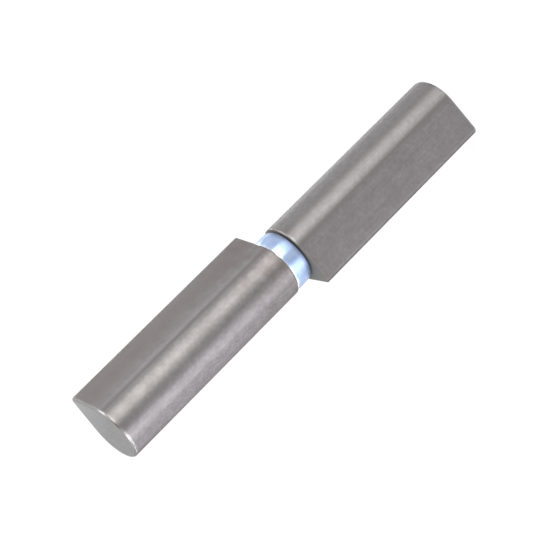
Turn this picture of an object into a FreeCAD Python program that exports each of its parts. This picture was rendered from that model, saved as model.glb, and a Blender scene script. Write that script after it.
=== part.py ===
import FreeCAD, Part
import Sketcher
import math
import os

from FreeCAD import Placement, Rotation, Vector

# Weld-on barrel hinge of the lift-off kind: two lengths of solid teardrop bar, the leaves, stand end to end
# on a pin, with a thrust collar between them. The pin is pressed in the lower leaf, and the upper leaf turns
# on it and lifts off. Lengths are in millimetres, angles in degrees.
# Frame: +Z runs up the pin, the origin is on its axis at the lower end of the hinge, and the weld tip of the
# lower leaf points along +X.

# Driving dimensions
SIZES = {
    "barrel_diameter": 20.0,     # round side of the bar that both leaves are cut from
    "tip_overhang": 5.8,         # how far the weld tip stands out from the barrel
    "tip_radius": 1.6,           # rounding along the weld tip
    "leaf_length": 73.0,         # length of each leaf
    "end_rounding": 0.5,         # broken edge round both ends of a leaf
    "end_wall": 25.0,            # from a bore's full depth to the closed end of its leaf
    "drill_angle": 118.0,        # drill point at the bottom of each bore
    "mouth_chamfer": 0.8,        # lead-in round the mouth of each bore
    "bore_wall": 4.0,            # steel between the barrel's surface and the pin
    "pin_foot_space": 1.0,       # empty depth under the pin in the lower leaf
    "pin_head_space": 3.0,       # empty depth over the pin in the upper leaf
    "pin_chamfer": 1.2,          # lead at both ends of the pin
    "running_clearance": 0.05,   # radial, round the pin in the collar and the upper leaf
    "collar_setback": 0.35,      # how far the collar stands back from the barrel
    "collar_thickness": 6.6,     # along the pin
    "rim_chamfer": 0.5,          # outer rims of the collar
    "collar_mouth": 0.4,         # chamfer at both mouths of the collar's bore
    "axial_play": 0.4,           # taken up between the lower leaf and the collar
    "opening_angle": 171.0,      # turn of the upper leaf's tip from the lower leaf's
}

# Formulas on the sheet, for what follows from the driving dimensions
BARREL_RADIUS = "Sizes.barrel_diameter / 2"
TIP_CENTRE = "Sizes.barrel_diameter / 2 + Sizes.tip_overhang - Sizes.tip_radius"
BORE_DEPTH = "Sizes.leaf_length - Sizes.end_wall"
PIN_DIAMETER = "Sizes.barrel_diameter - 2 * Sizes.bore_wall"
PRESS_BORE = PIN_DIAMETER
RUNNING_BORE = f"{PIN_DIAMETER} + 2 * Sizes.running_clearance"
COLLAR_DIAMETER = "Sizes.barrel_diameter - 2 * Sizes.collar_setback"
COLLAR_FOOT = "Sizes.leaf_length + Sizes.axial_play"
UPPER_LEAF_FOOT = f"{COLLAR_FOOT} + Sizes.collar_thickness"
PIN_FOOT = "Sizes.end_wall + Sizes.pin_foot_space"
PIN_LENGTH = f"{UPPER_LEAF_FOOT} + {BORE_DEPTH} - Sizes.pin_head_space - ({PIN_FOOT})"

# Sketcher's numbers for the origin and the X axis, and for the points of a line or an arc
AXES = -1
START, END, CENTRE = 1, 2, 3

HALF_TURN = 180
COUNTERSINK_ANGLE = 90    # gives a mouth chamfer of 45 degrees
TOUCH = 0.001             # how closely an edge lies in the plane of an end face


def fill_sheet(doc):
    sheet = doc.addObject("Spreadsheet::Sheet", "Sizes")
    for row, (alias, value) in enumerate(SIZES.items(), start=1):
        sheet.set(f"A{row}", alias.replace("_", " "))
        sheet.set(f"B{row}", str(value))
        sheet.setAlias(f"B{row}", alias)
    doc.recompute()


def add_body(doc, name):
    body = doc.addObject("PartDesign::Body", name)
    body.Label = name
    return body


def add_sketch(body, name):
    # On the body's own XY plane, square to the pin
    plane = next(item for item in body.Origin.OriginFeatures if item.Role == "XY_Plane")
    sketch = body.newObject("Sketcher::SketchObject", name)
    sketch.AttachmentSupport = [(plane, "")]
    sketch.MapMode = "FlatFace"
    return sketch


def constrain(sketch, name, formula, *constraint):
    # A named dimension of a sketch, driven by a formula on the sheet
    index = sketch.addConstraint(Sketcher.Constraint(*constraint))
    sketch.renameConstraint(index, name)
    sketch.setExpression(f"Constraints.{name}", formula)


def draw_circle(sketch, formula):
    # Round the pin's axis, drawn as large as the barrel and then given its diameter by the formula
    drawn = SIZES["barrel_diameter"]
    circle = sketch.addGeometry(Part.Circle(Vector(), Vector(0, 0, 1), drawn / 2))
    sketch.addConstraint(Sketcher.Constraint("Coincident", circle, CENTRE, AXES, START))
    constrain(sketch, "Diameter", formula, "Diameter", circle, drawn)


def draw_teardrop(sketch):
    # The bar's section: the barrel's arc and the tip's arc, joined by two flats that are tangent to both
    barrel = SIZES["barrel_diameter"] / 2
    tip = SIZES["tip_radius"]
    reach = barrel + SIZES["tip_overhang"] - tip
    lean = math.acos((barrel - tip) / reach)
    left = Vector(math.cos(lean), math.sin(lean), 0)
    right = Vector(left.x, -left.y, 0)
    barrel_circle = Part.Circle(Vector(), Vector(0, 0, 1), barrel)
    tip_circle = Part.Circle(Vector(reach, 0, 0), Vector(0, 0, 1), tip)

    barrel_arc = sketch.addGeometry(Part.ArcOfCircle(barrel_circle, lean, 2 * math.pi - lean))
    tip_arc = sketch.addGeometry(Part.ArcOfCircle(tip_circle, -lean, lean))
    left_flat = sketch.addGeometry(Part.LineSegment(left * barrel, tip_circle.Center + left * tip))
    right_flat = sketch.addGeometry(Part.LineSegment(tip_circle.Center + right * tip, right * barrel))

    sketch.addConstraint(Sketcher.Constraint("Tangent", barrel_arc, START, left_flat, START))
    sketch.addConstraint(Sketcher.Constraint("Tangent", left_flat, END, tip_arc, END))
    sketch.addConstraint(Sketcher.Constraint("Tangent", tip_arc, START, right_flat, START))
    sketch.addConstraint(Sketcher.Constraint("Tangent", right_flat, END, barrel_arc, END))
    sketch.addConstraint(Sketcher.Constraint("Coincident", barrel_arc, CENTRE, AXES, START))
    sketch.addConstraint(Sketcher.Constraint("PointOnObject", tip_arc, CENTRE, AXES))
    constrain(sketch, "BarrelRadius", BARREL_RADIUS, "Radius", barrel_arc, barrel)
    constrain(sketch, "TipRadius", "Sizes.tip_radius", "Radius", tip_arc, tip)
    constrain(sketch, "TipCentre", TIP_CENTRE, "DistanceX", AXES, START, tip_arc, CENTRE, reach)


def edges_at(feature, levels, within=math.inf):
    # Names of the edges that lie in level planes at these heights, and within a distance of the pin's axis
    names = []
    for number, edge in enumerate(feature.Shape.Edges, start=1):
        box = edge.BoundBox
        level = any(abs(box.ZMin - z) < TOUCH and abs(box.ZMax - z) < TOUCH for z in levels)
        if level and box.XMax < within:
            names.append(f"Edge{number}")
    return names


def add_pad(body, sketch, length):
    pad = body.newObject("PartDesign::Pad", f"{body.Name}_bar")
    pad.Profile = sketch
    pad.setExpression("Length", length)
    body.Document.recompute()
    return pad


def round_edges(body, base, edges, radius):
    fillet = body.newObject("PartDesign::Fillet", f"{body.Name}_rounding")
    fillet.Base = (base, edges)
    fillet.setExpression("Radius", radius)
    body.Document.recompute()
    return fillet


def chamfer_edges(body, base, edges, width):
    chamfer = body.newObject("PartDesign::Chamfer", f"{body.Name}_chamfer")
    chamfer.Base = (base, edges)
    chamfer.setExpression("Size", width)
    body.Document.recompute()
    return chamfer


def add_bore(body, diameter):
    # A round hole upwards from the body's XY plane, with its depth still to be set
    sketch = add_sketch(body, f"{body.Name}_bore_circle")
    draw_circle(sketch, diameter)
    body.Document.recompute()
    bore = body.newObject("PartDesign::Hole", f"{body.Name}_bore")
    bore.Profile = sketch
    bore.Reversed = True
    bore.setExpression("Diameter", diameter)
    return bore


def check_cut(base, cut):
    if cut.Shape.Volume >= base.Shape.Volume:
        raise RuntimeError(f"{cut.Name} cuts nothing")


def make_leaf(doc, name, bore_diameter):
    # Cut from the bar, its ends rounded, then drilled from the end at z = 0
    body = add_body(doc, name)
    section = add_sketch(body, f"{name}_section")
    draw_teardrop(section)
    bar = add_pad(body, section, "Sizes.leaf_length")
    ends = edges_at(bar, [0, bar.Length.Value])
    rounded = round_edges(body, bar, ends, "Sizes.end_rounding")

    bore = add_bore(body, bore_diameter)
    bore.DepthType = "Dimension"
    bore.setExpression("Depth", BORE_DEPTH)
    bore.DrillPoint = "Angled"
    bore.setExpression("DrillPointAngle", "Sizes.drill_angle")
    bore.HoleCutType = "Countersink"
    bore.HoleCutCountersinkAngle = COUNTERSINK_ANGLE
    bore.setExpression("HoleCutDiameter", f"{bore_diameter} + 2 * Sizes.mouth_chamfer")
    doc.recompute()
    check_cut(rounded, bore)
    return body


def make_collar(doc):
    # A turned ring, chamfered at its outer rims and at both mouths of its bore
    body = add_body(doc, "collar")
    section = add_sketch(body, "collar_section")
    draw_circle(section, COLLAR_DIAMETER)
    disc = add_pad(body, section, "Sizes.collar_thickness")
    faces = [0, disc.Length.Value]
    chamfered = chamfer_edges(body, disc, edges_at(disc, faces), "Sizes.rim_chamfer")

    bore = add_bore(body, RUNNING_BORE)
    bore.DepthType = "ThroughAll"
    doc.recompute()
    check_cut(chamfered, bore)
    mouths = edges_at(bore, faces, within=bore.Diameter.Value / 2 + TOUCH)
    chamfer_edges(body, bore, mouths, "Sizes.collar_mouth")
    return body


def make_pin(doc):
    # Ground round bar, with a lead at the pressed-in end and at the end that the upper leaf drops onto
    body = add_body(doc, "pin")
    section = add_sketch(body, "pin_section")
    draw_circle(section, PIN_DIAMETER)
    bar = add_pad(body, section, PIN_LENGTH)
    chamfer_edges(body, bar, edges_at(bar, [0, bar.Length.Value]), "Sizes.pin_chamfer")
    return body


def place(body, height, rotation=Rotation()):
    # On the pin's axis, with a formula for its height
    body.Placement = Placement(Vector(), rotation)
    body.setExpression(".Placement.Base.z", height)


def check_model(doc, bodies):
    for item in doc.Objects:
        if "Invalid" in item.State or "Error" in item.State:
            raise RuntimeError(f"{item.Name} failed: {item.State}")
    for body in bodies:
        if body.Shape.isNull() or not body.Shape.isValid():
            raise RuntimeError(f"{body.Label} has no valid shape")


def main():
    doc = FreeCAD.newDocument("BarrelHinge")
    fill_sheet(doc)

    # The lower leaf's bore opens upwards, so it is turned over
    lower_leaf = make_leaf(doc, "lower_leaf", PRESS_BORE)
    place(lower_leaf, "Sizes.leaf_length", Rotation(Vector(1, 0, 0), HALF_TURN))

    upper_leaf = make_leaf(doc, "upper_leaf", RUNNING_BORE)
    place(upper_leaf, UPPER_LEAF_FOOT, Rotation(Vector(0, 0, 1), SIZES["opening_angle"]))
    upper_leaf.setExpression(".Placement.Rotation.Angle", "Sizes.opening_angle")

    collar = make_collar(doc)
    place(collar, COLLAR_FOOT)

    pin = make_pin(doc)
    place(pin, PIN_FOOT)

    doc.recompute()
    bodies = [lower_leaf, upper_leaf, collar, pin]
    check_model(doc, bodies)
    os.makedirs("parts", exist_ok=True)
    for body in bodies:
        body.Shape.exportStep(f"parts/{body.Label}.step")
        print(body.Label, round(body.Shape.Volume), "mm3")


main()
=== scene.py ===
# Lift-off weld-on hinge: two teardrop steel leaves end to end, a zinc thrust collar and the pin inside.
# Lengths are in metres, +Z runs up the pin from the lower leaf to the upper leaf.
import math
import bmesh
import bpy
from mathutils import Matrix, Quaternion, Vector


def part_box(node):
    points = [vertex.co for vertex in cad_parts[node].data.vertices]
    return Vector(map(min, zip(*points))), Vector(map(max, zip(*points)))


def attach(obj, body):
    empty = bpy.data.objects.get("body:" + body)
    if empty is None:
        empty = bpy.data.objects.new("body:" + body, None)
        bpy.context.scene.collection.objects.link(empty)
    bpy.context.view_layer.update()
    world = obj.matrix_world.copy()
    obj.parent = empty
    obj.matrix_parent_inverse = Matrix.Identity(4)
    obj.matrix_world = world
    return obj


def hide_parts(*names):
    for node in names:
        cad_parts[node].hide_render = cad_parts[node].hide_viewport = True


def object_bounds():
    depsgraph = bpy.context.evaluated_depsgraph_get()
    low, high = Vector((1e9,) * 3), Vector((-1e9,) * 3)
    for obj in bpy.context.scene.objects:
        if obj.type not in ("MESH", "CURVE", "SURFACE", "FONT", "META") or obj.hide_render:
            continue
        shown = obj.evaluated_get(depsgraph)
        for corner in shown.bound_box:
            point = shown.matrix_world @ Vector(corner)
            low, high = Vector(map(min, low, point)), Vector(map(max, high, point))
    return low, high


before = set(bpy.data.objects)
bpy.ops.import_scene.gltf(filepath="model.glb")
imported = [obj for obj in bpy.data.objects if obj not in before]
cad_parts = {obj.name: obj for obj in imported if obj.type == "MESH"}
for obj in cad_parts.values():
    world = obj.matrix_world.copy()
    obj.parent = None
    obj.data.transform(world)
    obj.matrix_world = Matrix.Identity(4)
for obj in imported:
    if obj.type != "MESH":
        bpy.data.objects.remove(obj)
cadLow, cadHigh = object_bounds()
print("frame loaded:", ", ".join(sorted(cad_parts)))


# small helpers for meshes

meshSettings = {
    "samePlace": 1e-7,     # two points or heights nearer than this are the same
    "sharpAngle": 32.0,    # degrees, past which an edge is shaded sharp
    "levelSlope": 0.98,    # upright share of a face's normal, past which the face is a cut end
}


def vertsOf(geometry):
    return [item for item in geometry if isinstance(item, bmesh.types.BMVert)]


def edgesOf(geometry):
    return [item for item in geometry if isinstance(item, bmesh.types.BMEdge)]


def growLoop(mesh, loop):
    # extrudes a closed loop of edges in place, and returns its new points and edges
    grown = bmesh.ops.extrude_edge_only(mesh, edges=loop)["geom"]
    points = vertsOf(grown)
    inNew = set(points)
    return points, [edge for edge in edgesOf(grown) if all(point in inNew for point in edge.verts)]


def circleLoop(points, radius):
    # draws each point straight in or out from the pin's axis until it lies on a circle
    for point in points:
        point.co.xy = point.co.xy.normalized() * radius


def edgesAt(mesh, axis, place):
    # the edges that lie wholly at one place on an axis
    return [edge for edge in mesh.edges
            if all(abs(getattr(point.co, axis) - place) < meshSettings["samePlace"] for point in edge.verts)]


def roundOff(mesh, corners, size, steps, affect="EDGES"):
    # rounds edges or points, or chamfers them where there is one step
    bmesh.ops.bevel(mesh, geom=corners, offset=size, offset_type="OFFSET", affect=affect, segments=steps,
                    profile=0.5, material=-1)


def makePiece(name, mesh, materials, body, node):
    # closes seams, points the faces outwards, and hands the piece to its body in place of the CAD node;
    # a second material goes on the cut ends
    bmesh.ops.remove_doubles(mesh, verts=mesh.verts, dist=meshSettings["samePlace"])
    bmesh.ops.recalc_face_normals(mesh, faces=mesh.faces)
    for face in mesh.faces:
        face.smooth = True
        cut = abs(face.normal.z) > meshSettings["levelSlope"]
        face.material_index = 1 if len(materials) > 1 and cut else 0
    data = bpy.data.meshes.new(name)
    mesh.to_mesh(data)
    mesh.free()
    data.set_sharp_from_angle(angle=math.radians(meshSettings["sharpAngle"]))
    for material in materials:
        data.materials.append(material)
    piece = bpy.data.objects.new(name, data)
    bpy.context.scene.collection.objects.link(piece)
    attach(piece, body)
    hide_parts(node)
    print("made", name, "with", len(data.polygons), "faces")


# small helpers for materials

def setInput(tree, socket, value):
    # the value is a number, a colour or another node's output
    if isinstance(value, bpy.types.NodeSocket):
        tree.links.new(value, socket)
    else:
        socket.default_value = value


def addNode(tree, kind, **values):
    # a node with its settings (lower case) and its input values (by name, spaces as underscores)
    node = tree.nodes.new(kind)
    for name, value in values.items():
        if hasattr(node, name):
            setattr(node, name, value)
        else:
            setInput(tree, node.inputs[name.replace("_", " ")], value)
    return node


def startMaterial(name, metallic=0.0):
    material = bpy.data.materials.new(name)
    material.use_nodes = True
    tree = material.node_tree
    tree.nodes.clear()
    output = tree.nodes.new("ShaderNodeOutputMaterial")
    shader = addNode(tree, "ShaderNodeBsdfPrincipled", Metallic=metallic)
    tree.links.new(shader.outputs["BSDF"], output.inputs["Surface"])
    return material, tree, shader


def startGroup(name, inputs, outputs):
    group = bpy.data.node_groups.new(name, "ShaderNodeTree")
    for label, kind, value in inputs:
        socket = group.interface.new_socket(name=label, in_out="INPUT", socket_type=kind)
        socket.default_value = value
    for label, kind in outputs:
        group.interface.new_socket(name=label, in_out="OUTPUT", socket_type=kind)
    entry = group.nodes.new("NodeGroupInput")
    leave = group.nodes.new("NodeGroupOutput")
    return group, entry, leave


def placeGroup(tree, group, **values):
    node = tree.nodes.new("ShaderNodeGroup")
    node.node_tree = group
    for name, value in values.items():
        setInput(tree, node.inputs[name.replace("_", " ")], value)
    return node


def mixColours(tree, mask, first, second, blend="MIX"):
    # the first colour where the mask is 0, the second where it is 1
    node = tree.nodes.new("ShaderNodeMix")
    node.data_type = "RGBA"
    node.blend_type = blend
    node.clamp_factor = True
    for socket, value in ((node.inputs[0], mask), (node.inputs[6], first), (node.inputs[7], second)):
        setInput(tree, socket, value)
    return node.outputs[2]


def calculate(tree, operation, first, second=0.0):
    node = tree.nodes.new("ShaderNodeMath")
    node.operation = operation
    setInput(tree, node.inputs[0], first)
    setInput(tree, node.inputs[1], second)
    return node.outputs[0]


def layTone(tree, colour, mask, share, tone):
    # lays a tone over a colour, as strongly as the mask times the share
    return mixColours(tree, calculate(tree, "MULTIPLY", mask, share), colour, tone)


def blendValue(tree, mask, start, end, full=1.0):
    # from start to end as the mask goes from 0 to its full value
    return addNode(tree, "ShaderNodeMapRange", Value=mask, From_Max=full, To_Min=start,
                   To_Max=end).outputs["Result"]


def finishSurface(tree, shader, colour, roughness):
    setInput(tree, shader.inputs["Base Color"], colour)
    setInput(tree, shader.inputs["Roughness"], roughness)


def raiseLines(tree, shader, lines, look):
    bump = addNode(tree, "ShaderNodeBump", Strength=look["lineStrength"], Distance=look["lineDepth"],
                   Height=lines)
    tree.links.new(bump.outputs["Normal"], shader.inputs["Normal"])


def spreadUpright(tree, shader, amount):
    # draws highlights out along the pin and keeps them narrow round it
    upright = addNode(tree, "ShaderNodeCombineXYZ", Z=1.0)
    tree.links.new(upright.outputs["Vector"], shader.inputs["Tangent"])
    shader.inputs["Anisotropic"].default_value = amount


# effects that several finishes share

# limits say which part of a noise is spread over 0 to 1
effectSettings = {
    "lineRoughness": 0.55,
    "lineLimits": (0.3, 0.7),
    "cloudRoughness": 0.6,
    "patchDetail": 3.0,
    "patchLimits": (0.32, 0.68),
    "speckDetail": 1.5,
    "speckLimits": (0.3, 0.7),
    "borderDetail": 3.0,
    "noiseMiddle": 0.5,
    "borderWander": 4.0,       # how far a ragged border strays, in reaches for each unit of noise
}


def spreadNoise(tree, limits, **values):
    noise = addNode(tree, "ShaderNodeTexNoise", **values)
    return addNode(tree, "ShaderNodeMapRange", Value=noise.outputs["Fac"], From_Min=limits[0],
                   From_Max=limits[1]).outputs["Result"]


def fadeOut(tree, share):
    # 1 where the share is 0, falling smoothly to 0 where it is 1
    return addNode(tree, "ShaderNodeMapRange", interpolation_type="SMOOTHSTEP", Value=share, From_Min=1.0,
                   From_Max=0.0).outputs["Result"]


def makeStreaks(settings):
    # fine lines drawn out one way, from noise that is squeezed across the lines and stretched along them
    group, entry, leave = startGroup(
        "streaks",
        [("Stretch", "NodeSocketVector", (2600.0, 2600.0, 26.0)), ("Detail", "NodeSocketFloat", 4.0)],
        [("Lines", "NodeSocketFloat")],
    )
    place = group.nodes.new("ShaderNodeTexCoord")
    stretch = addNode(group, "ShaderNodeVectorMath", operation="MULTIPLY")
    group.links.new(place.outputs["Object"], stretch.inputs[0])
    group.links.new(entry.outputs["Stretch"], stretch.inputs[1])
    lines = spreadNoise(group, settings["lineLimits"], Vector=stretch.outputs[0], Scale=1.0,
                        Detail=entry.outputs["Detail"], Roughness=settings["lineRoughness"])
    group.links.new(lines, leave.inputs["Lines"])
    return group


def makeMottle(settings):
    # soft cloudy patches and small specks, each from 0 to 1
    group, entry, leave = startGroup(
        "mottle",
        [("Patch Scale", "NodeSocketFloat", 300.0), ("Speck Scale", "NodeSocketFloat", 2600.0)],
        [("Patches", "NodeSocketFloat"), ("Specks", "NodeSocketFloat")],
    )
    place = group.nodes.new("ShaderNodeTexCoord")
    for result, kind in (("Patches", "patch"), ("Specks", "speck")):
        marks = spreadNoise(group, settings[kind + "Limits"], Vector=place.outputs["Object"],
                            Scale=entry.outputs[kind.capitalize() + " Scale"],
                            Detail=settings[kind + "Detail"], Roughness=settings["cloudRoughness"])
        group.links.new(marks, leave.inputs[result])
    return group


def makeHeightBand(settings):
    # 1 at a height on the pin's axis, fading to 0 at the reach above and below it, with a ragged border
    group, entry, leave = startGroup(
        "heightBand",
        [("Height", "NodeSocketFloat", 0.0), ("Reach", "NodeSocketFloat", 0.002),
         ("Ragged", "NodeSocketFloat", 0.3), ("Scale", "NodeSocketFloat", 400.0)],
        [("Mask", "NodeSocketFloat")],
    )
    place = group.nodes.new("ShaderNodeTexCoord")
    split = group.nodes.new("ShaderNodeSeparateXYZ")
    group.links.new(place.outputs["Object"], split.inputs[0])
    offset = calculate(group, "SUBTRACT", split.outputs["Z"], entry.outputs["Height"])
    share = calculate(group, "DIVIDE", calculate(group, "ABSOLUTE", offset), entry.outputs["Reach"])
    noise = addNode(group, "ShaderNodeTexNoise", Vector=place.outputs["Object"], Scale=entry.outputs["Scale"],
                    Detail=settings["borderDetail"], Roughness=settings["cloudRoughness"])
    stray = calculate(group, "SUBTRACT", noise.outputs["Fac"], settings["noiseMiddle"])
    strength = calculate(group, "MULTIPLY", entry.outputs["Ragged"], settings["borderWander"])
    share = calculate(group, "ADD", share, calculate(group, "MULTIPLY", stray, strength))
    group.links.new(fadeOut(group, share), leave.inputs["Mask"])
    return group


def makeAngleBand():
    # 1 along two lines down a piece, at one angle each side of its tip, or one line where the angle is 0,
    # fading to 0 at the spread; also the distance from the pin's axis towards the tip
    group, entry, leave = startGroup(
        "angleBand",
        [("Tip", "NodeSocketFloat", 0.0), ("Angle", "NodeSocketFloat", 0.0),
         ("Spread", "NodeSocketFloat", 10.0)],
        [("Mask", "NodeSocketFloat"), ("Towards Tip", "NodeSocketFloat")],
    )
    place = group.nodes.new("ShaderNodeTexCoord")
    turn = addNode(group, "ShaderNodeVectorRotate", rotation_type="Z_AXIS")
    split = group.nodes.new("ShaderNodeSeparateXYZ")
    back = calculate(group, "RADIANS", calculate(group, "MULTIPLY", entry.outputs["Tip"], -1.0))
    group.links.new(place.outputs["Object"], turn.inputs["Vector"])
    group.links.new(back, turn.inputs["Angle"])
    group.links.new(turn.outputs["Vector"], split.inputs[0])
    around = calculate(group, "DEGREES", calculate(group, "ARCTAN2", split.outputs["Y"], split.outputs["X"]))
    offset = calculate(group, "SUBTRACT", calculate(group, "ABSOLUTE", around), entry.outputs["Angle"])
    share = calculate(group, "DIVIDE", calculate(group, "ABSOLUTE", offset), entry.outputs["Spread"])
    group.links.new(fadeOut(group, share), leave.inputs["Mask"])
    group.links.new(split.outputs["X"], leave.inputs["Towards Tip"])
    return group


streaks = makeStreaks(effectSettings)
mottle = makeMottle(effectSettings)
heightBand = makeHeightBand(effectSettings)
angleBand = makeAngleBand()
print("shared effects ready")


def heightMask(tree, height, **band):
    return placeGroup(tree, heightBand, Height=height, **band).outputs["Mask"]


def angleMask(tree, tip, **band):
    return placeGroup(tree, angleBand, Tip=tip, **band).outputs["Mask"]


# finishes

# angles are in degrees, a leaf's tip from +X towards +Y and its painted shade and reflection lines from that
# tip, reaches in metres along the pin, and each share says how strongly a tone is laid on
leafEnds = {
    "lowerLeaf": {
        "tip": 0.0,
        "closedEnd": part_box("lower_leaf")[0].z,
        "boredEnd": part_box("lower_leaf")[1].z,
        # painted shade: a dark line each side of the tip, beside the highlight
        "shadeLine": {"Angle": 65.0, "Spread": 6.0},
        # a second painted shade line, the dark band in the reflection beside the highlight
        "secondLine": {"Angle": 94.0, "Spread": 16.0},
        "secondTone": "darkLine",
        "secondShare": 0.55,
        "stainReach": 0.005,
        "flatShare": 0.0,
        "closedDarkShare": 0.1,
        "closedFlatShare": 0.0,
        "tint": (0.98, 1.0, 1.0, 1.0),
    },
    "upperLeaf": {
        "tip": 171.0,
        "closedEnd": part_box("upper_leaf")[1].z,
        "boredEnd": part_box("upper_leaf")[0].z,
        # painted shade: a dark line each side of the tip, beside the highlight
        "shadeLine": {"Angle": 67.0, "Spread": 6.0},
        # a second line, a painted pale reflection
        "secondLine": {"Angle": 59.5, "Spread": 8.0},
        "secondTone": "paleLine",
        "secondShare": 0.4,
        "stainReach": 0.020,
        "flatShare": 0.75,
        "closedDarkShare": 0.5,
        "closedFlatShare": 0.72,
        "tint": (1.0, 1.0, 1.0, 1.0),
    },
}

drawnSteelLook = {
    "colour": (0.224, 0.208, 0.212, 1.0),
    # paleLine is also the painted pale reflection line on the upper leaf
    "paleLine": (0.278, 0.258, 0.262, 1.0),
    # darkLine is also the tone of the painted shade lines
    "darkLine": (0.168, 0.154, 0.158, 1.0),
    # speckColour is also the painted shade on the closed rim
    "speckColour": (0.135, 0.124, 0.126, 1.0),
    "stainAndShade": (0.158, 0.128, 0.122, 1.0),       # brown film of old grease near the collar
    "flatTone": (0.160, 0.136, 0.139, 1.0),        # darker warm tone on the flats, more of it towards the closed end
    "edgeColour": (0.42, 0.41, 0.41, 1.0),     # rubbed bright along the rounded ends, and the painted highlight on the closed rim's arc
    "grazingTint": (0.70, 0.70, 0.70, 1.0),
    "roughness": (0.43, 0.51),                 # between the patches and on them
    "noseRoughness": 0.78,                     # duller skin on the weld tip
    "edgeRoughness": 0.34,
    "fineLines": {"Stretch": (2600.0, 2600.0, 30.0)},
    "broadLines": {"Stretch": (620.0, 620.0, 9.0), "Detail": 2.0},
    "cloud": {"Patch_Scale": 230.0, "Speck_Scale": 850.0},
    "fineShare": 0.45,
    "broadShare": 0.40,
    "patchShare": 0.45,
    "speckShare": 0.38,
    # how strongly the painted shade lines are laid on
    "shadeLineShare": 0.95,
    "nose": {"Angle": 0.0, "Spread": 9.0},
    "noseShare": 0.30,
    "flat": {"Angle": 21.0, "Spread": 42.0},
    "stainAndShadeBand": {"Ragged": 0.55, "Scale": 210.0},
    "stainAndShadeShare": 0.55,
    "closedDarkBand": {"Reach": 0.015, "Ragged": 0.1, "Scale": 210.0},
    "closedFlatBand": {"Reach": 0.048, "Ragged": 0.1, "Scale": 120.0},
    "rimBand": {"Reach": 0.0012, "Ragged": 0.12, "Scale": 900.0},
    "highlightArc": {"Angle": 143.0, "Spread": 44.0},     # where the rim gets a painted highlight
    "shadeArc": {"Angle": 103.0, "Spread": 16.0},       # where the closed rim gets painted shade
    "closedRubAndLight": {"least": 0.34, "onArc": 0.66, "dulled": 1.0},
    "boredRubAndLight": {"least": 0.08, "onArc": 0.0, "dulled": 0.0},
    "lineDepth": 0.00002,
    "lineStrength": 0.08,
    "upright": 0.7,
}


def layLengthTones(tree, look, ends, colour, patches, flat, arc):
    # grease by the collar, darker towards the closed end away from the highlight arc, and a darker warm tone
    # on the flats, more towards the closed end
    stainAndShadeMask = heightMask(tree, ends["boredEnd"], Reach=ends["stainReach"], **look["stainAndShadeBand"])
    closedNear = heightMask(tree, ends["closedEnd"], **look["closedDarkBand"])
    closedWide = heightMask(tree, ends["closedEnd"], **look["closedFlatBand"])
    for mask, where, share, tone in (
        (stainAndShadeMask, patches, look["stainAndShadeShare"], look["stainAndShade"]),
        (closedNear, calculate(tree, "SUBTRACT", 1.0, arc), ends["closedDarkShare"], look["darkLine"]),
        (closedWide, flat, ends["closedFlatShare"], look["flatTone"]),
    ):
        colour = layTone(tree, colour, calculate(tree, "MULTIPLY", mask, where), share, tone)
    return colour


def rubAndLightRim(tree, look, height, rubAndLight, arc, dim, colour, roughness):
    # rubbed bright and smooth along one rounded end, with a painted highlight on the arc and painted shade
    # where it is dim
    rim = heightMask(tree, height, **look["rimBand"])
    shadeMask = calculate(tree, "MULTIPLY", dim, rubAndLight["dulled"])
    rimBrightness = calculate(tree, "ADD", calculate(tree, "MULTIPLY", arc, rubAndLight["onArc"]), rubAndLight["least"])
    rimBrightness = calculate(tree, "MULTIPLY", rimBrightness, calculate(tree, "SUBTRACT", 1.0, shadeMask))
    rubAndHighlight = calculate(tree, "MULTIPLY", rim, rimBrightness)
    # painted shade on the dim part of the rim, then rubbed brightness with a painted highlight on the arc
    colour = layTone(tree, colour, rim, shadeMask, look["speckColour"])
    colour = mixColours(tree, rubAndHighlight, colour, look["edgeColour"])
    return colour, blendValue(tree, rubAndHighlight, roughness, look["edgeRoughness"])


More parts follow.
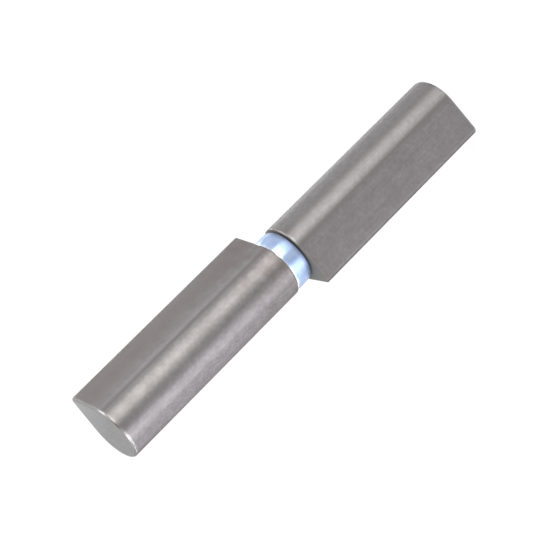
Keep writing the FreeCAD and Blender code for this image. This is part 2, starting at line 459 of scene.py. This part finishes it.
def makeDrawnSteel(name, look, ends):
    # cold-drawn bar: lines along it from the die, a mottle, painted shade and reflection lines, grease by the
    # collar, darker tones towards the closed end and on the flats, and rubbed ends with a painted highlight
    # and painted shade
    material, tree, shader = startMaterial(name, metallic=1.0)
    shader.inputs["Specular Tint"].default_value = look["grazingTint"]
    spreadUpright(tree, shader, look["upright"])
    fine = placeGroup(tree, streaks, **look["fineLines"]).outputs["Lines"]
    broad = placeGroup(tree, streaks, **look["broadLines"]).outputs["Lines"]
    cloud = placeGroup(tree, mottle, **look["cloud"])
    patches = cloud.outputs["Patches"]
    # painted shade lines, and a second painted line of shade or reflection per leaf
    shadeLines = angleMask(tree, ends["tip"], **ends["shadeLine"])
    second = angleMask(tree, ends["tip"], **ends["secondLine"])
    nose, flat, arc, dim = (angleMask(tree, ends["tip"], **look[part])
                            for part in ("nose", "flat", "highlightArc", "shadeArc"))
    colour = mixColours(tree, fine, look["darkLine"], look["paleLine"])
    colour = mixColours(tree, look["fineShare"], look["colour"], colour)
    for mask, share, tone in (
        (broad, look["broadShare"], look["paleLine"]),
        (patches, look["patchShare"], look["darkLine"]),
        (cloud.outputs["Specks"], look["speckShare"], look["speckColour"]),
        (shadeLines, look["shadeLineShare"], look["darkLine"]),
        (second, ends["secondShare"], look[ends["secondTone"]]),
        (nose, look["noseShare"], look["speckColour"]),
        (flat, ends["flatShare"], look["flatTone"]),
    ):
        colour = layTone(tree, colour, mask, share, tone)
    colour = layLengthTones(tree, look, ends, colour, patches, flat, arc)
    roughness = blendValue(tree, patches, *look["roughness"])
    roughness = blendValue(tree, nose, roughness, look["noseRoughness"])
    for end in ("closed", "bored"):
        colour, roughness = rubAndLightRim(tree, look, ends[end + "End"], look[end + "RubAndLight"], arc, dim, colour,
                                   roughness)
    colour = mixColours(tree, 1.0, colour, ends["tint"], "MULTIPLY")
    finishSurface(tree, shader, colour, roughness)
    raiseLines(tree, shader, fine, look)
    return material


sawnSteelLook = {
    "colour": (0.308, 0.302, 0.307, 1.0),
    "darkSpot": (0.245, 0.239, 0.243, 1.0),
    "paleTip": (0.368, 0.364, 0.370, 1.0),     # a little lighter towards the weld tip
    # brown grease with painted shade where the end meets the collar
    "stainAndShade": (0.170, 0.145, 0.128, 1.0),
    "roughness": (0.70, 0.80),
    "cuts": {"Stretch": (90.0, 3400.0, 90.0), "Detail": 2.0},
    "cloud": {"Patch_Scale": 320.0, "Speck_Scale": 1500.0},
    "speckShare": 0.9,
    "cutShare": 0.3,
    "paleReach": 0.014,                        # from the pin's axis to where it is palest
    "paleShare": 0.7,
    "stainAndShadeBand": {"Reach": 0.0030, "Ragged": 0.1, "Scale": 300.0},
    "stainAndShadeShare": 0.45,
    "lineDepth": 0.00002,
    "lineStrength": 0.2,
}


def makeSawnSteel(name, look, ends):
    # cut end faces, matt, with faint saw lines, and brown with grease and painted shade at the end that bears
    # on the collar
    material, tree, shader = startMaterial(name, metallic=1.0)
    cuts = placeGroup(tree, streaks, **look["cuts"]).outputs["Lines"]
    cloud = placeGroup(tree, mottle, **look["cloud"])
    towardsTip = placeGroup(tree, angleBand, Tip=ends["tip"]).outputs["Towards Tip"]
    colour = layTone(tree, look["colour"], cloud.outputs["Specks"], look["speckShare"], look["darkSpot"])
    colour = layTone(tree, colour, cuts, look["cutShare"], look["darkSpot"])
    pale = blendValue(tree, towardsTip, 0.0, look["paleShare"], full=look["paleReach"])
    colour = mixColours(tree, pale, colour, look["paleTip"])
    # brown grease with painted shade on the end that bears on the collar
    stainAndShadeMask = heightMask(tree, ends["boredEnd"], **look["stainAndShadeBand"])
    colour = layTone(tree, colour, stainAndShadeMask, look["stainAndShadeShare"], look["stainAndShade"])
    finishSurface(tree, shader, colour, blendValue(tree, cloud.outputs["Patches"], *look["roughness"]))
    raiseLines(tree, shader, cuts, look)
    return material


blueZincLook = {
    "colour": (0.295, 0.385, 0.590, 1.0),
    "paleSpot": (0.365, 0.455, 0.650, 1.0),
    "footShade": (0.125, 0.140, 0.195, 1.0),       # painted shade along the foot's rim, by the gap under the collar
    "headHighlight": (0.780, 0.820, 0.880, 1.0),        # painted highlight along the head's rim
    "roughness": (0.29, 0.34),
    "satinRoughness": 0.46,
    "satinSide": 34.0,                         # degrees from +X towards +Y, the middle of a duller side
    "satinBand": {"Angle": 0.0, "Spread": 34.0},
    "cloud": {"Patch_Scale": 350.0},
    "footShadeBand": {"Reach": 0.0024, "Ragged": 0.10, "Scale": 500.0},
    "footShadeShare": 0.7,
    "headHighlightBand": {"Reach": 0.0010, "Ragged": 0.03, "Scale": 500.0},
    "headHighlightShare": 0.8,
    "upright": 0.8,
}


def makeBlueZinc(look, foot, head):
    # bright zinc plating with a blue passivated film, with a painted shade along the foot's rim and a painted
    # highlight along the head's rim
    material, tree, shader = startMaterial("blueZinc", metallic=1.0)
    spreadUpright(tree, shader, look["upright"])
    clouds = placeGroup(tree, mottle, **look["cloud"]).outputs["Patches"]
    colour = mixColours(tree, clouds, look["colour"], look["paleSpot"])
    # painted shade along the foot's rim
    shadeMask = heightMask(tree, foot, **look["footShadeBand"])
    colour = layTone(tree, colour, shadeMask, look["footShadeShare"], look["footShade"])
    # painted highlight along the head's rim
    rubAndHighlight = heightMask(tree, head, **look["headHighlightBand"])
    colour = layTone(tree, colour, rubAndHighlight, look["headHighlightShare"], look["headHighlight"])
    side = angleMask(tree, look["satinSide"], **look["satinBand"])
    roughness = blendValue(tree, clouds, *look["roughness"])
    finishSurface(tree, shader, colour, blendValue(tree, side, roughness, look["satinRoughness"]))
    return material


groundSteelLook = {
    "colour": (0.34, 0.34, 0.35, 1.0),
    "darkLine": (0.315, 0.315, 0.325, 1.0),
    "roughness": (0.27, 0.31),
    "lines": {"Stretch": (90.0, 90.0, 9000.0), "Detail": 2.0},
}


def makeGroundSteel(look):
    # ground pin, with fine grinding lines round it
    material, tree, shader = startMaterial("groundSteel", metallic=1.0)
    lines = placeGroup(tree, streaks, **look["lines"]).outputs["Lines"]
    colour = mixColours(tree, lines, look["darkLine"], look["colour"])
    finishSurface(tree, shader, colour, blendValue(tree, lines, *look["roughness"]))
    return material


leafFinishes = {name: [makeDrawnSteel(name + "Drawn", drawnSteelLook, ends),
                       makeSawnSteel(name + "Sawn", sawnSteelLook, ends)]
                for name, ends in leafEnds.items()}
blueZinc = makeBlueZinc(blueZincLook, *(corner.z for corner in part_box("collar")))
groundSteel = makeGroundSteel(groundSteelLook)
print("finishes ready")


# the two leaves

lowerLow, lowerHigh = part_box("lower_leaf")
leafShape = {
    "length": lowerHigh.z - lowerLow.z,
    "barrelRadius": lowerHigh.y,
    "tipRadius": 0.0016,
    "tipReach": lowerHigh.x,      # from the pin's axis to the very tip
    "closedRounding": 0.0008,
    "boredRounding": 0.0004,
    "supportGap": 0.0004,         # from a rounding to the loop that keeps the next face flat
    "boreDepth": 0.048,
    "drillAngle": 118.0,          # degrees, the full angle of the drill's point
    "mouthChamfer": 0.0008,
    "barrelSteps": 90,
    "flatSteps": 12,
    "tipSteps": 20,
    "roundingSteps": 6,
}


def drawTeardrop(mesh, shape):
    # barrel arc, tip arc and the two flats that touch both
    centre = shape["tipReach"] - shape["tipRadius"]
    lean = math.acos((shape["barrelRadius"] - shape["tipRadius"]) / centre)
    side = Vector((math.cos(lean), math.sin(lean), 0.0))
    middle = Vector((centre, 0.0, 0.0))
    ends = []
    for start, around, angle, steps in (
        (side * shape["barrelRadius"], Vector(), 2 * math.pi - 2 * lean, shape["barrelSteps"]),
        (middle + Vector((side.x, -side.y, 0.0)) * shape["tipRadius"], middle, 2 * lean, shape["tipSteps"]),
    ):
        first = mesh.verts.new(start)
        last = bmesh.ops.spin(mesh, geom=[first], cent=around, axis=(0, 0, 1), angle=angle, steps=steps)
        ends += [first, vertsOf(last["geom_last"])[0]]
    flats = [mesh.edges.new((ends[1], ends[2])), mesh.edges.new((ends[3], ends[0]))]
    bmesh.ops.subdivide_edges(mesh, edges=flats, cuts=shape["flatSteps"] - 1)
    return bmesh.ops.contextual_create(mesh, geom=mesh.edges[:])["faces"][0]


def drillBore(mesh, shape, boreRadius, mouth):
    # opens the mouth face and runs its loop down the chamfer and the wall to the drill's point
    loop = list(mouth.edges)
    bmesh.ops.delete(mesh, geom=[mouth], context="FACES_ONLY")
    tipDrop = boreRadius / math.tan(math.radians(shape["drillAngle"] / 2))
    for radius, drop in (
        (boreRadius + shape["mouthChamfer"], 0.0),
        (boreRadius, shape["mouthChamfer"]),
        (boreRadius, shape["boreDepth"] - shape["mouthChamfer"]),
    ):
        points, loop = growLoop(mesh, loop)
        circleLoop(points, radius)
        bmesh.ops.translate(mesh, verts=points, vec=(0, 0, -drop))
    points, loop = growLoop(mesh, loop)
    bmesh.ops.pointmerge(mesh, verts=points,
                         merge_co=(0, 0, shape["length"] - shape["boreDepth"] - tipDrop))


def buildLeaf(shape, boreRadius):
    # a solid bar with rounded ends, closed at z 0 and bored from its other end
    mesh = bmesh.new()
    face = drawTeardrop(mesh, shape)
    foot, head = (shape[label] + shape["supportGap"] for label in ("closedRounding", "boredRounding"))
    inner = []
    for rise in (foot, shape["length"] - foot - head, head):
        raised = bmesh.ops.extrude_face_region(mesh, geom=[face], use_keep_orig=True)
        bmesh.ops.translate(mesh, verts=vertsOf(raised["geom"]), vec=(0, 0, rise))
        face = [item for item in raised["geom"] if isinstance(item, bmesh.types.BMFace)][0]
        inner.append(face)
    bmesh.ops.delete(mesh, geom=inner[:-1], context="FACES_ONLY")
    roundOff(mesh, edgesAt(mesh, "z", 0.0), shape["closedRounding"], shape["roundingSteps"])
    roundOff(mesh, edgesAt(mesh, "z", shape["length"]), shape["boredRounding"], shape["roundingSteps"])
    bmesh.ops.recalc_face_normals(mesh, faces=mesh.faces)
    ends = [face for face in mesh.faces if len(face.verts) > 4]     # all the others have four corners
    bmesh.ops.inset_region(mesh, faces=ends, thickness=shape["supportGap"] / 2, use_even_offset=True)
    drillBore(mesh, shape, boreRadius, max(ends, key=lambda face: face.calc_center_median().z))
    return mesh


pinLow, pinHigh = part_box("pin")
pinRadius = pinHigh.x
runningClearance = 0.00005

lowerMesh = buildLeaf(leafShape, pinRadius)
makePiece("lowerLeaf", lowerMesh, leafFinishes["lowerLeaf"], "lower", "lower_leaf")

upperMesh = buildLeaf(leafShape, pinRadius + runningClearance)
bmesh.ops.transform(upperMesh, verts=upperMesh.verts, matrix=(
    Matrix.Rotation(math.radians(leafEnds["upperLeaf"]["tip"]), 4, "Z")
    @ Matrix.Translation((0, 0, leafEnds["upperLeaf"]["closedEnd"]))
    @ Matrix.Rotation(math.pi, 4, "X")
))
makePiece("upperLeaf", upperMesh, leafFinishes["upperLeaf"], "upper", "upper_leaf")


# the thrust collar

collarLow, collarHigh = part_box("collar")
collarShape = {
    "radius": collarHigh.x,
    "foot": collarLow.z,
    "head": collarHigh.z,
    "rimRounding": 0.0006,
    "mouthRounding": 0.0004,
    "crown": 0.00022,             # how much lower the rims are than the middle
    "crownSteps": 10,
    "roundingSteps": 6,
    "turnSteps": 120,
}


def buildCollar(shape, boreRadius):
    # its section, with the corners rounded, is turned once round the pin
    mesh = bmesh.new()
    corners = [mesh.verts.new((x, 0, z)) for x, z in (
        (boreRadius, shape["foot"]), (shape["radius"], shape["foot"]),
        (shape["radius"], shape["head"]), (boreRadius, shape["head"]),
    )]
    mesh.faces.new(corners)
    roundOff(mesh, corners[1:3], shape["rimRounding"], shape["roundingSteps"], "VERTICES")
    roundOff(mesh, [corners[0], corners[3]], shape["mouthRounding"], shape["roundingSteps"], "VERTICES")
    bmesh.ops.subdivide_edges(mesh, edges=edgesAt(mesh, "x", shape["radius"]), cuts=shape["crownSteps"] - 1)
    middle = (shape["foot"] + shape["head"]) / 2
    for point in mesh.verts:
        if point.co.x > (boreRadius + shape["radius"]) / 2:
            point.co.x -= shape["crown"] * ((point.co.z - middle) / (shape["head"] - middle)) ** 2
    bmesh.ops.delete(mesh, geom=mesh.faces[:], context="FACES_ONLY")
    bmesh.ops.spin(mesh, geom=mesh.verts[:] + mesh.edges[:], cent=(0, 0, 0), axis=(0, 0, 1),
                   angle=2 * math.pi, steps=shape["turnSteps"], use_merge=True)
    return mesh


makePiece("thrustCollar", buildCollar(collarShape, pinRadius + runningClearance), [blueZinc],
          "thrust_ring", "collar")


# the pin

pinShape = {
    "radius": pinRadius,
    "foot": pinLow.z,
    "head": pinHigh.z,
    "chamfer": 0.0012,
    "softening": 0.0002,
    "softSteps": 3,
    "cornerAngle": 0.5,           # radians, past which an edge is softened
    "supportReach": 0.0024,       # from each end to the loop that keeps the wall's shading even
    "turnSteps": 96,
}


def buildPin(shape):
    # ground bar with a lead chamfer at both ends, its edges just broken
    mesh = bmesh.new()
    height = shape["head"] - shape["foot"]
    bmesh.ops.create_cone(mesh, cap_ends=True, segments=shape["turnSteps"], radius1=shape["radius"],
                          radius2=shape["radius"], depth=height)
    bmesh.ops.translate(mesh, verts=mesh.verts, vec=(0, 0, shape["foot"] + height / 2))
    rims = edgesAt(mesh, "z", shape["foot"]) + edgesAt(mesh, "z", shape["head"])
    roundOff(mesh, rims, shape["chamfer"], 1)
    brims = [edge for edge in mesh.edges if edge.calc_face_angle(0.0) > shape["cornerAngle"]]
    roundOff(mesh, brims, shape["softening"], shape["softSteps"])
    for level in (shape["foot"] + shape["supportReach"], shape["head"] - shape["supportReach"]):
        bmesh.ops.bisect_plane(mesh, geom=mesh.verts[:] + mesh.edges[:] + mesh.faces[:],
                               plane_co=(0, 0, level), plane_no=(0, 0, 1))
    return mesh


makePiece("hingePin", buildPin(pinShape), [groundSteel], "lower", "pin")


# floor, light and camera

studio = {
    "floorSize": 8.0,
    "floorColour": (0.82, 0.82, 0.82, 1.0),
    "floorRoughness": 0.9,
    "floorWhite": 0.92,          # how much of the floor is plain white to the eye and to the metal
    "worldLevel": 0.9,
    "white": (1.0, 1.0, 1.0, 1.0),
}


def seenMask(tree):
    # 1 for what the eye, a gloss or a clear surface sees, 0 for soft light
    path = tree.nodes.new("ShaderNodeLightPath")
    either = calculate(tree, "MAXIMUM", path.outputs["Is Camera Ray"], path.outputs["Is Glossy Ray"])
    return calculate(tree, "MAXIMUM", either, path.outputs["Is Transmission Ray"])


def blendShaders(tree, mask, first, second, output):
    blend = tree.nodes.new("ShaderNodeMixShader")
    for socket, source in zip(blend.inputs, (mask, first.outputs[0], second.outputs[0])):
        tree.links.new(source, socket)
    tree.links.new(blend.outputs[0], output.inputs["Surface"])


def makeFloor(settings):
    material, tree, shader = startMaterial("studioFloor")
    finishSurface(tree, shader, settings["floorColour"], settings["floorRoughness"])
    white = addNode(tree, "ShaderNodeEmission", Color=settings["white"], Strength=1.0)
    output = shader.outputs["BSDF"].links[0].to_node
    seen = calculate(tree, "MULTIPLY", seenMask(tree), settings["floorWhite"])
    blendShaders(tree, seen, shader, white, output)
    material.cycles.emission_sampling = "NONE"
    mesh = bmesh.new()
    bmesh.ops.create_grid(mesh, x_segments=1, y_segments=1, size=settings["floorSize"] / 2)
    data = bpy.data.meshes.new("studioFloor")
    mesh.to_mesh(data)
    mesh.free()
    data.materials.append(material)
    floor = bpy.data.objects.new("studioFloor", data)
    bpy.context.scene.collection.objects.link(floor)


def makeWorld(settings):
    world = bpy.data.worlds.new("studioWorld")
    bpy.context.scene.world = world
    world.use_nodes = True
    tree = world.node_tree
    tree.nodes.clear()
    output = tree.nodes.new("ShaderNodeOutputWorld")
    soft = addNode(tree, "ShaderNodeBackground", Color=settings["white"], Strength=settings["worldLevel"])
    white = addNode(tree, "ShaderNodeBackground", Color=settings["white"], Strength=1.0)
    blendShaders(tree, seenMask(tree), soft, white, output)
    world.cycles.sampling_method = "NONE"


makeFloor(studio)
makeWorld(studio)

# azimuth is in degrees from +X towards +Y, distance along the floor, sizes in metres, power in watts
softBoxes = {
    "keyStrip": {"azimuth": 97.0, "height": 0.070, "distance": 2.0, "size": (1.50, 0.12), "power": 27.0,
                 "colour": (0.98, 1.0, 0.96)},
    "fillStrip": {"azimuth": 12.0, "height": 0.070, "distance": 2.0, "size": (1.40, 0.12), "power": 22.0,
                  "colour": (0.93, 0.95, 1.0)},
    "sideStrip": {"azimuth": -40.0, "height": 0.130, "distance": 2.0, "size": (2.40, 0.24), "power": 18.2,
                  "colour": (0.92, 0.96, 1.0)},
    "lowBox": {"azimuth": 194.0, "height": 0.070, "distance": 2.0, "size": (0.60, 0.12), "power": 16.0,
               "colour": (0.92, 1.0, 0.98)},
    "leftStrip": {"azimuth": 170.0, "height": 0.070, "distance": 2.0, "size": (1.60, 0.12), "power": 4.5,
                  "colour": (0.86, 1.0, 0.99)},
    "highKey": {"azimuth": 90.0, "height": 0.937, "distance": 1.229, "size": (0.50, 0.50), "power": 10.0,
                "colour": (0.95, 1.0, 0.80)},
    "highLeft": {"azimuth": 155.0, "height": 1.10, "distance": 1.10, "size": (0.50, 0.50), "power": 12.0,
                 "colour": (1.0, 1.0, 1.0)},
    "highRight": {"azimuth": 2.0, "height": 1.10, "distance": 1.10, "size": (0.50, 0.50), "power": 9.0,
                  "colour": (0.97, 1.0, 1.0)},
}


def directionOf(azimuth, elevation):
    level = math.cos(math.radians(elevation))
    return Vector((level * math.cos(math.radians(azimuth)), level * math.sin(math.radians(azimuth)),
                   math.sin(math.radians(elevation))))


def addSoftBox(name, box, aim):
    lamp = bpy.data.lights.new(name, "AREA")
    lamp.shape = "RECTANGLE"
    lamp.size, lamp.size_y = box["size"]
    lamp.energy = box["power"]
    lamp.color = box["colour"]
    holder = bpy.data.objects.new(name, lamp)
    holder.location = directionOf(box["azimuth"], 0.0) * box["distance"] + Vector((0.0, 0.0, box["height"]))
    holder.rotation_mode = "QUATERNION"
    holder.rotation_quaternion = (holder.location - aim).to_track_quat("Z", "Y")
    bpy.context.scene.collection.objects.link(holder)


hingeMiddle = Vector((0.0, 0.0, (cadLow.z + cadHigh.z) / 2))
for name, box in softBoxes.items():
    addSoftBox(name, box, hingeMiddle)
print("studio ready")

# angles in degrees, lens and sensor in millimetres as a camera has them
viewSettings = {
    "aim": (0.001271, -0.000589, 0.081136),
    "azimuth": 65.1139,          # where the camera stands, from +X towards +Y
    "lookDown": 22.0073,
    "roll": -135.0964,
    "distance": 0.621763,
    "lens": 133.24,
    "sensor": 36.0,
    "clip": (0.01, 50.0),
}


def addCamera(view):
    data = bpy.data.cameras.new("photoCamera")
    data.lens = view["lens"]
    data.sensor_width = view["sensor"]
    data.clip_start, data.clip_end = view["clip"]
    back = directionOf(view["azimuth"], view["lookDown"])
    camera = bpy.data.objects.new("photoCamera", data)
    camera.location = Vector(view["aim"]) + back * view["distance"]
    camera.rotation_mode = "QUATERNION"
    camera.rotation_quaternion = (back.to_track_quat("Z", "Y")
                                  @ Quaternion((0, 0, 1), math.radians(view["roll"])))
    bpy.context.scene.collection.objects.link(camera)
    bpy.context.scene.camera = camera


addCamera(viewSettings)
bpy.context.scene.view_settings.view_transform = "Standard"
print("camera ready")
